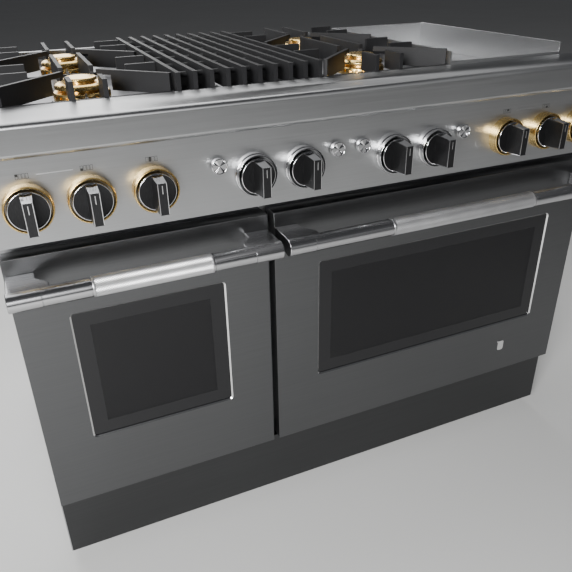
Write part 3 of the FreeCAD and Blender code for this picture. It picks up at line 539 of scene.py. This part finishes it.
brass_ring = bezel("brass_bezel", [(0.0370, 0.0), (0.0370, 0.0160), (0.0366, 0.0182), (0.0358, 0.0196),
                                   (0.0350, 0.0200), (0.0340, 0.0190), (0.0335, 0.0165), (0.0335, 0.0)])
chrome_ring = bezel("chrome_bezel", [(0.0370, 0.0), (0.0370, 0.0085), (0.0362, 0.0098), (0.0352, 0.0102),
                                     (0.0352, 0.0120), (0.0358, 0.0128), (0.0360, 0.0180), (0.0354, 0.0196),
                                     (0.0348, 0.0200), (0.0340, 0.0190), (0.0335, 0.0165), (0.0335, 0.0)])
brass_rings, chrome_rings = [], []
for kind, count, ring_model, rings in (("burner_knob", 6, brass_ring, brass_rings),
                                       ("oven_knob", 4, chrome_ring, chrome_rings)):
    for index in range(1, count + 1):
        node = "%s_%d" % (kind, index)
        spot = on_panel(node)
        settle(placed(knob_model, node + "_cast", spot, FACING_FRONT), None, BODY_OF[node], node)
        rings.append(placed(ring_model, kind + "_ring", spot, FACING_FRONT))
settle(joined("brass_rings", *brass_rings), [brass], "chassis", "brass_bezels")
settle(joined("chrome_rings", *chrome_rings), [chrome], "chassis", "chrome_bezels")
for model in (knob_model, brass_ring, chrome_ring):
    bpy.data.objects.remove(model)

# ---- Push buttons
# Small chromed buttons: a turned collar round a face with four lobes, on a shank in the panel. The
# grooves between the lobes are pressed in and widen towards the collar.
collar = turned("button_collar", [(0.0080, -0.0050), (0.0080, 0.0030), (0.0126, 0.0032), (0.0137, 0.0042),
                                  (0.0137, 0.0108), (0.0132, 0.0118), (0.0124, 0.0122), (0.0118, 0.0117),
                                  (0.0116, 0.0086)], 64)
rounded(collar, 0.0002, 2, 30.0)
FACE_R = 0.0118
FACE_Z = 0.0108
FACE_BACK_Z = 0.0080
GROOVE_DEPTH = 0.0022
GROOVE_HALF = radians(19.0)
FACE_SIDES = 64
FACE_RINGS = 5
corners = [(0.0, 0.0, FACE_Z)]    # the middle, then one ring of points after another
for ring in range(1, FACE_RINGS + 1):
    share = ring / FACE_RINGS
    for side in range(FACE_SIDES):
        turn = 2 * pi * side / FACE_SIDES
        off_groove = abs(turn % (pi / 2) - pi / 4)
        sink = GROOVE_DEPTH * share * max(0.0, 1.0 - off_groove / GROOVE_HALF)
        corners.append((FACE_R * share * cos(turn), FACE_R * share * sin(turn), FACE_Z - sink))
corners += [(x, y, FACE_BACK_Z) for x, y, _ in corners[-FACE_SIDES:]]
facets = []
for side in range(FACE_SIDES):
    here, beside = side + 1, (side + 1) % FACE_SIDES + 1
    facets.append((0, here, beside))
    for ring in range(FACE_RINGS):
        inner, outer = ring * FACE_SIDES, (ring + 1) * FACE_SIDES
        facets.append((inner + here, outer + here, outer + beside, inner + beside))
rim = FACE_RINGS * FACE_SIDES
facets.append(tuple(range(rim + FACE_SIDES, rim, -1)))
face_mesh = bpy.data.meshes.new("button_face")
face_mesh.from_pydata(corners, [], facets)
button_face = bpy.data.objects.new("button_face", face_mesh)
bpy.context.collection.objects.link(button_face)
button_model = joined("button", collar, button_face)
for index in range(1, 5):
    node = "push_button_%d" % index
    button = placed(button_model, node + "_chrome", on_panel(node), FACING_FRONT)
    settle(button, [chrome], BODY_OF[node], node)
bpy.data.objects.remove(button_model)

# ---- Marks on the panel
# Thin marks of black enamel, fired on over the brass knobs, show which cooking zone each one feeds:
# a row of four zones with one filled. An inlaid bright line joins the two knobs of one burner pair.
ink = Finish("mark_black", Roughness=0.4)
ink.give(Base_Color=ink.blend(ink.noise(400.0), (0.012, 0.012, 0.012), (0.03, 0.03, 0.03)))
MARK_Z = 0.835
CELL = (0.0041, 0.0080)
CELL_PITCH = 0.0049
CELL_LINE = 0.0005
MARK_PROUD = 0.0001
MARK_THICK = 0.00015
PAIR_LINE = (0.053, 0.0014)
ZONES = ((0, 1), (0, -1), (1, 0), (2, 1), (2, -1), (3, 0))   # column, and row where two share one
marks = []


def plate_facing_front(where, width, height):
    """A flat upright rectangle that faces the front."""
    bpy.ops.object.select_all(action="DESELECT")
    bpy.ops.mesh.primitive_plane_add(size=1.0, location=where, rotation=FACING_FRONT)
    plate = bpy.context.object
    plate.scale = (width, height, 1.0)
    bpy.ops.object.transform_apply()
    return plate


def hollow_out(width, depth=0.0):
    """Leaves only a border of the flat face in edit mode, and selects it."""
    bpy.ops.mesh.inset(thickness=width, depth=depth)
    bpy.ops.mesh.delete(type="FACE")
    bpy.ops.mesh.select_all(action="SELECT")


def thicken(reach):
    """Pushes the flat faces in edit mode along Y, as the thickness of a plate."""
    bpy.ops.mesh.extrude_region_move(TRANSFORM_OT_translate={"value": (0.0, reach, 0.0)})


def cell(x, z, width, height, filled):
    """One zone of a mark: a thin plate, hollowed to an outline unless it is filled."""
    plate = plate_facing_front((x, FRONT_Y - MARK_PROUD, z), width, height)
    edit_all()
    if not filled:
        hollow_out(CELL_LINE)
    thicken(MARK_THICK)
    leave_closed()
    return plate


for index, (zone, row) in enumerate(ZONES, 1):
    low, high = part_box("burner_knob_%d" % index)
    middle = (low[0] + high[0]) / 2
    for column in range(4):
        x = middle + (column - 1.5) * CELL_PITCH
        marks.append(cell(x, MARK_Z, CELL[0], CELL[1], column == zone and row == 0))
        if column == zone and row:
            marks.append(cell(x, MARK_Z + row * CELL[1] / 4, CELL[0], CELL[1] / 2, True))
settle(joined("zone_marks", *marks), [ink], "chassis")
pair_lines = []
for pair in ((1, 2), (4, 5)):
    ends = [corner[0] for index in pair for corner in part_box("burner_knob_%d" % index)]
    pair_lines.append(cell(sum(ends) / 4, MARK_Z, *PAIR_LINE, True))
settle(joined("pair_lines", *pair_lines), [chrome], "chassis")

# ---- Doors
# Each door is a brushed steel skin round a dark double window, with an enamelled inner pan. A thin
# polished trim frames the glass, and the pane is printed black round a clear middle.
PANE_LAP = 0.014        # the pane reaches this far behind the skin
TRIM = 0.0026
TRIM_OVER = 0.0012      # the trim's frame is this much larger than the window
TRIM_CORNER = 0.008
TRIM_SLOPE = 0.0022
TRIM_THICK = 0.0008
TRIM_PROUD = 0.0005
PRINT_WIDTH = 0.030
CLEAR = 0.35            # how far the middle of the pane can be seen through
enamel = Finish("black_enamel", Roughness=0.22, Coat_Weight=0.3)
speck = enamel.node("ShaderNodeTexVoronoi", inputs={"Vector": enamel.place, "Scale": 420.0})
enamel.give(Base_Color=enamel.blend(speck < 0.16, (0.012, 0.012, 0.014), (0.16, 0.16, 0.17)))
polished = Finish("polished_trim", Base_Color=(0.8, 0.8, 0.8), Metallic=1.0)
polished.give(Roughness=0.12 + polished.noise(200.0) * 0.08)
for side in ("left", "right"):
    body = "door_" + side
    # The skin's steel carries painted shade, darker than the panel's same stainless.
    folded(body + "_panel", dark_steel, 0.0010, 3, join_faces=False)
    folded(body + "_inner", enamel, 0.0005)
    low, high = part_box(body + "_glass")
    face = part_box(body + "_panel")[0][1]
    x0, x1 = low[0] + PANE_LAP, high[0] - PANE_LAP
    z0, z1 = low[2] + PANE_LAP, high[2] - PANE_LAP
    middle = ((x0 + x1) / 2, (z0 + z1) / 2)
    trim = plate_facing_front((middle[0], face - TRIM_PROUD, middle[1]),
                              x1 - x0 + TRIM_OVER, z1 - z0 + TRIM_OVER)
    trim.name = body + "_window_trim"
    edit_all()
    bpy.ops.mesh.bevel(offset=TRIM_CORNER, segments=6, affect="VERTICES")
    bpy.ops.mesh.select_all(action="SELECT")
    hollow_out(TRIM, -TRIM_SLOPE)
    thicken(TRIM_THICK)
    leave_closed()
    settle(trim, [polished], body)

    glass = Finish(body + "_glass", Base_Color=(0.004, 0.004, 0.005), Roughness=0.03, IOR=1.5)
    clear = ((glass.axis("X") > x0 + PRINT_WIDTH) * (glass.axis("X") < x1 - PRINT_WIDTH)
             * (glass.axis("Z") > z0 + PRINT_WIDTH) * (glass.axis("Z") < z1 - PRINT_WIDTH))
    glass.give(Alpha=1.0 - clear * CLEAR)
    dress(glass, body + "_glass")

# ---- Door handles
# A polished tube the full width of each door, with a knurled grip sleeve in the middle, stands on
# two solid end brackets that flare out to meet it and are screwed through the door skin.
handle_steel = brushed("handle_steel", (0.46, 0.46, 0.47), (0.60, 0.60, 0.61), ALONG_X, 0.14, 0.05)
knurled_steel = Finish("knurled_steel", Metallic=1.0)
knurl_cloud = knurled_steel.noise(30.0)
knurled_steel.give(Base_Color=knurled_steel.blend(knurl_cloud, (0.48, 0.48, 0.49), (0.66, 0.66, 0.67)),
                   Roughness=0.30 + knurled_steel.noise(500.0) * 0.15)
BAR_R = 0.0156
SLEEVE_R = 0.0166
END_R = 0.0162
KNURL_PITCH = 0.0021
KNURL_SIDES = 48
KNURL_SINK = 0.945         # every second point of the knurl is pressed in to this share
SLEEVE_SHARE = 0.445
SLEEVE_ENDS = 0.006        # taken up by the two collars
AXIS_FROM_FRONT = 0.016
SEAM = 0.050               # where the end sections meet the bar
COLLAR_WIDTH = 0.0034
COLLAR_OVER = 0.0014       # from the knurl's end to the collar's middle
ALONG_BAR = (0.0, radians(90.0), 0.0)
BRACKET = (0.045, 0.022, 0.0316)
BRACKET_MIDDLE = 0.0235    # from the end of the bar
FLARE = (0.009, 0.022)     # sideways and forwards
FLARE_SHARE = 1.4
BRACKET_TIP = 0.016
END_FACE = 0.0015          # faces this near to a bar's end are its end faces

for side in ("left", "right"):
    body = "door_" + side
    low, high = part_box(body + "_handle")
    x0, x1 = low[0], high[0]
    length = x1 - x0
    sleeve = length * SLEEVE_SHARE
    start = (length - sleeve) / 2
    axis_y = low[1] + AXIS_FROM_FRONT
    axis_z = (low[2] + high[2]) / 2
    outline = [(END_R - 0.001, 0.0), (END_R, 0.001), (END_R, SEAM - 0.0006),
               (BAR_R - 0.0006, SEAM - 0.0002), (BAR_R - 0.0006, SEAM + 0.0006),
               (BAR_R, SEAM + 0.001), (BAR_R, start - 0.0012),
               (BAR_R - 0.0008, start - 0.0008), (BAR_R - 0.0008, start)]
    mirror = [(radius, length - height) for radius, height in reversed(outline)]
    bar = turned(body + "_bar", outline + mirror, 72)
    bpy.ops.object.shade_smooth_by_angle(angle=radians(30.0))
    tube = placed(bar, body + "_handle_bar", (x0, axis_y, axis_z), ALONG_BAR)
    bpy.data.objects.remove(bar)

    bpy.ops.object.select_all(action="DESELECT")
    bpy.ops.mesh.primitive_circle_add(vertices=KNURL_SIDES, radius=SLEEVE_R)
    knurl = bpy.context.object
    edit_all()
    for step in range(2):
        bpy.ops.mesh.extrude_region_move(TRANSFORM_OT_translate={"value": (0.0, 0.0, KNURL_PITCH)})
    bpy.ops.object.mode_set(mode="OBJECT")
    swell(knurl, KNURL_SINK, lambda co: (round(atan2(co.y, co.x) / (2 * pi / KNURL_SIDES))
                                         + round(co.z / KNURL_PITCH)) % 2 == 0)
    row = knurl.modifiers.new("row", "ARRAY")
    row.count = int((sleeve - SLEEVE_ENDS) / (2 * KNURL_PITCH))
    span = 2 * KNURL_PITCH * row.count
    row.use_relative_offset = False
    row.use_constant_offset = True
    row.constant_offset_displace = (0.0, 0.0, 2 * KNURL_PITCH)
    row.use_merge_vertices = True
    row.merge_threshold = 0.0001
    bpy.ops.object.modifier_apply(modifier=row.name)
    bpy.context.tool_settings.mesh_select_mode = (False, True, False)
    bpy.ops.object.mode_set(mode="EDIT")
    bpy.ops.mesh.select_all(action="DESELECT")
    bpy.ops.mesh.select_non_manifold()
    bpy.ops.mesh.edge_face_add()
    bpy.ops.mesh.select_all(action="SELECT")
    bpy.ops.mesh.quads_convert_to_tris()
    leave_closed()
    grip_sleeve = placed(knurl, body + "_knurl", (x0 + (length - span) / 2, axis_y, axis_z), ALONG_BAR)
    bpy.data.objects.remove(knurl)
    collars = []
    for sign in (-1, 1):
        ring = turned("collar", [(BAR_R - 0.001, 0.0), (SLEEVE_R - 0.0002, 0.0), (SLEEVE_R, 0.0006),
                                 (SLEEVE_R, 0.0028), (SLEEVE_R - 0.0002, COLLAR_WIDTH),
                                 (BAR_R - 0.001, COLLAR_WIDTH)], 72)
        bpy.ops.object.shade_smooth_by_angle(angle=radians(30.0))
        where = x0 + length / 2 + sign * (span / 2 + COLLAR_OVER) - COLLAR_WIDTH / 2
        collars.append(placed(ring, "collar", (where, axis_y, axis_z), ALONG_BAR))
        bpy.data.objects.remove(ring)

    door_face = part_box(body + "_panel")[0][1]
    brackets = []
    for sign, end in ((1, x0), (-1, x1)):
        bracket = block(BRACKET, (end + sign * BRACKET_MIDDLE, door_face - BRACKET[1] / 2, axis_z))
        choose(bracket, lambda f: f.normal.y < -0.9)
        bpy.ops.mesh.extrude_region_move(
            TRANSFORM_OT_translate={"value": (sign * FLARE[0], -FLARE[1], 0.0)})
        bpy.ops.transform.resize(value=(FLARE_SHARE, 1.0, 1.0))
        thicken(-BRACKET_TIP)
        bpy.ops.object.mode_set(mode="OBJECT")
        rounded(bracket, 0.0022, 3, 20.0)
        brackets.append(bracket)
    for piece in (tube, *brackets):
        piece.data.materials.append(handle_steel.material)
        piece.data.materials.append(knob_black.material)
        for face in piece.data.polygons:
            from_end = min(abs(face.center.x - x0), abs(face.center.x - x1))
            if abs(face.normal.x) > 0.9 and from_end < END_FACE:
                face.material_index = 1
    for piece in (grip_sleeve, *collars):
        piece.data.materials.append(knurled_steel.material)
    whole = joined(body + "_handle_set", tube, grip_sleeve, *collars, *brackets)
    settle(whole, None, body, body + "_handle")

# ---- Badge
# A small plain plate of polished steel with a raised face, glued low on the right door. It has
# rounded corners and carries no mark.
BADGE_AT = (0.442, 0.256)
BADGE = (0.017, 0.026)
BADGE_CORNER = 0.005
BADGE_THICK = 0.0014
badge = plate_facing_front((BADGE_AT[0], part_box("door_right_panel")[0][1], BADGE_AT[1]), *BADGE)
badge.name = "door_badge"
edit_all()
bpy.ops.mesh.bevel(offset=BADGE_CORNER, segments=5, affect="VERTICES")
bpy.ops.mesh.select_all(action="SELECT")
thicken(-BADGE_THICK)
bpy.ops.mesh.inset(thickness=0.0018, depth=-0.0005)
leave_closed()
rounded(badge, 0.0003)
settle(badge, [polished], "door_right")

# ---- Ovens
# Each oven is a box of enamelled sheet with chromed rack ladders on its sides, a slotted fan cover at
# the back, a broil tube above and a wire rack. A glass fibre rope seals the door to the oven front.
for node in ("oven_liner_left", "oven_liner_right", "fan_covers"):
    folded(node, enamel, 0.0005)
rope = Finish("glass_fibre_rope", Roughness=0.9)
braid = rope.node("ShaderNodeTexVoronoi", inputs={"Vector": rope.place, "Scale": 480.0})
rope.give(Base_Color=rope.blend(braid, (0.05, 0.05, 0.05), (0.15, 0.15, 0.145)))
rope.bump(braid, 0.6, 0.0006)
lens_glass = Finish("lens_glass", Roughness=0.08, Transmission_Weight=0.6)
lens_glass.give(Base_Color=lens_glass.blend(lens_glass.noise(60.0), (0.78, 0.76, 0.70), (0.9, 0.89, 0.85)))
OVEN_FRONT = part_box("oven_liner_left")[0][1] - 0.012
ROPE_GAP = 0.010
ROPE_WIDTH = 0.008
ROPE_THICK = 0.0042
ROPE_CORNER = 0.030
LENS_FROM_SIDE = 0.055
LENS_FROM_TOP = 0.052
LINER_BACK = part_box("oven_liner_left")[1][1] - 0.0025
LINER_FLANGE = 0.020
CAVITY_Z = (0.235, 0.640)
CAVITY_X = [(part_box(node)[0][0] + LINER_FLANGE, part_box(node)[1][0] - LINER_FLANGE)
            for node in ("oven_liner_left", "oven_liner_right")]
seals, lenses, rims = [], [], []
lens_model = turned("light_lens", [(0.0215, 0.0), (0.0215, 0.004), (0.0195, 0.008), (0.0150, 0.011),
                                   (0.0080, 0.0128), (0.0020, 0.0132)], 48)
rim_model = turned("light_rim", [(0.0215, 0.0), (0.0215, 0.0050), (0.0225, 0.0060), (0.0265, 0.0052),
                                 (0.0285, 0.0028), (0.0285, 0.0)], 48, ring=True)
for model in (lens_model, rim_model):
    rounded(model, 0.0002, 2, 50.0)
for x0, x1 in CAVITY_X:
    seal = plate_facing_front(((x0 + x1) / 2, OVEN_FRONT, sum(CAVITY_Z) / 2),
                              x1 - x0 + 2 * (ROPE_GAP + ROPE_WIDTH),
                              CAVITY_Z[1] - CAVITY_Z[0] + 2 * (ROPE_GAP + ROPE_WIDTH))
    edit_all()
    bpy.ops.mesh.bevel(offset=ROPE_CORNER, segments=8, affect="VERTICES")
    bpy.ops.mesh.select_all(action="SELECT")
    hollow_out(ROPE_WIDTH)
    thicken(-ROPE_THICK)
    leave_closed()
    rounded(seal, 0.0018, 4, 40.0)
    seals.append(seal)
    for x in (x0 + LENS_FROM_SIDE, x1 - LENS_FROM_SIDE):
        spot = (x, LINER_BACK, CAVITY_Z[1] - LENS_FROM_TOP)
        lenses.append(placed(lens_model, "light_lens", spot, FACING_FRONT))
        rims.append(placed(rim_model, "light_rim", spot, FACING_FRONT))
settle(joined("door_seals", *seals), [rope], "chassis")
settle(joined("oven_light_lenses", *lenses), [lens_glass], "chassis")
settle(joined("oven_light_rims", *rims), [chrome], "chassis")
bpy.data.objects.remove(lens_model)
bpy.data.objects.remove(rim_model)

# ---- Screws
# Pan-head steel screws with a cross recess. Fourteen plated ones hold the rear sheet, and six bright
# ones hold each inner door pan.
screw_model = turned("screw", [(0.0048, 0.0), (0.0048, 0.0008), (0.0042, 0.0018), (0.0030, 0.0024),
                               (0.0012, 0.0026)], 24)
RECESS = (0.0044, 0.0009, 0.0018)
RECESS_Z = 0.0024
for angle in (0.0, radians(90.0)):
    bpy.ops.object.select_all(action="DESELECT")
    bpy.ops.mesh.primitive_cube_add(size=1.0, location=(0.0, 0.0, RECESS_Z), rotation=(0.0, 0.0, angle),
                                    scale=RECESS)
    bored(screw_model, bpy.context.object)
rounded(screw_model, 0.0001, 1, 50.0)
FACING_BACK = (radians(-90.0), 0.0, 0.0)
REAR_SCREW_IN = 0.012
REAR_SCREW_UP = 0.014
REAR_SCREW_Z = (0.11, 0.27, 0.43, 0.59, 0.73)
REAR_SCREW_X = (-0.4, -0.13, 0.13, 0.4)
DOOR_SCREW_IN = 0.020
DOOR_SCREW_Z = (0.09, 0.444, 0.03)      # above the lower edge, over the floor, below the upper edge
low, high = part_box("rear_panel")
spots = [(x, high[1], z) for x in (low[0] + REAR_SCREW_IN, high[0] - REAR_SCREW_IN) for z in REAR_SCREW_Z]
spots += [(x, high[1], low[2] + REAR_SCREW_UP) for x in REAR_SCREW_X]
rear_screws = [placed(screw_model, "screw", spot, FACING_BACK) for spot in spots]
settle(joined("rear_screws", *rear_screws), [galvanised], "chassis")
for side in ("left", "right"):
    low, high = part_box("door_%s_inner" % side)
    spots = [(x, high[1], z) for x in (low[0] + DOOR_SCREW_IN, high[0] - DOOR_SCREW_IN)
             for z in (low[2] + DOOR_SCREW_Z[0], DOOR_SCREW_Z[1], high[2] - DOOR_SCREW_Z[2])]
    heads = [placed(screw_model, "screw", spot, FACING_BACK) for spot in spots]
    settle(joined("door_%s_screws" % side, *heads), [chrome], "door_" + side)
bpy.data.objects.remove(screw_model)

# ---- Levelling feet
# Four turned and plated steel feet: a round pad, a hexagon for the wrench and a threaded stem that
# screws into the base tray.
low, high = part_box("levelling_feet")
PAD_R = 0.024
STEM_TOP = high[2]
THREAD_PITCH = 0.0016
THREAD_START = 0.018
outline = [(0.0220, 0.0), (PAD_R, 0.0015), (PAD_R, 0.0050), (0.0215, 0.0072),
           (0.0100, 0.0092), (0.0060, 0.0150)]
turns = int((STEM_TOP - THREAD_START) / THREAD_PITCH)
for turn in range(turns):
    outline += [(0.0060, 0.0155 + turn * THREAD_PITCH), (0.0053, 0.0163 + turn * THREAD_PITCH)]
foot_model = turned("foot", outline, 32)
bpy.ops.object.shade_smooth_by_angle(angle=radians(30.0))
nut_model = turned("foot_nut", [(0.0100, 0.0090), (0.0108, 0.0096), (0.0108, 0.0146), (0.0100, 0.0152)], 6)
foot_parts = []
for x in (low[0] + PAD_R, high[0] - PAD_R):
    for y in (low[1] + PAD_R, high[1] - PAD_R):
        foot_parts.append(placed(foot_model, "foot", (x, y, 0.0)))
        foot_parts.append(placed(nut_model, "foot_nut", (x, y, 0.0)))
bpy.data.objects.remove(foot_model)
bpy.data.objects.remove(nut_model)
settle(joined("feet", *foot_parts), [galvanised], "chassis", "levelling_feet")

# ---- What stays in its CAD shape
# Round and thin parts that are already true to life: chromed wire racks and their ladders, chromed
# valve stems, and the plated gas tubes, valves and fan rotors. They only take on a finish.
dress(chrome, "rack_guides", "oven_rack_left", "oven_rack_right",
      *["valve_stem_%d" % index for index in range(1, 7)])
dress(galvanised, "oven_burners", "tube_burners", "gas_manifold", "control_bodies", "fan_left", "fan_right")
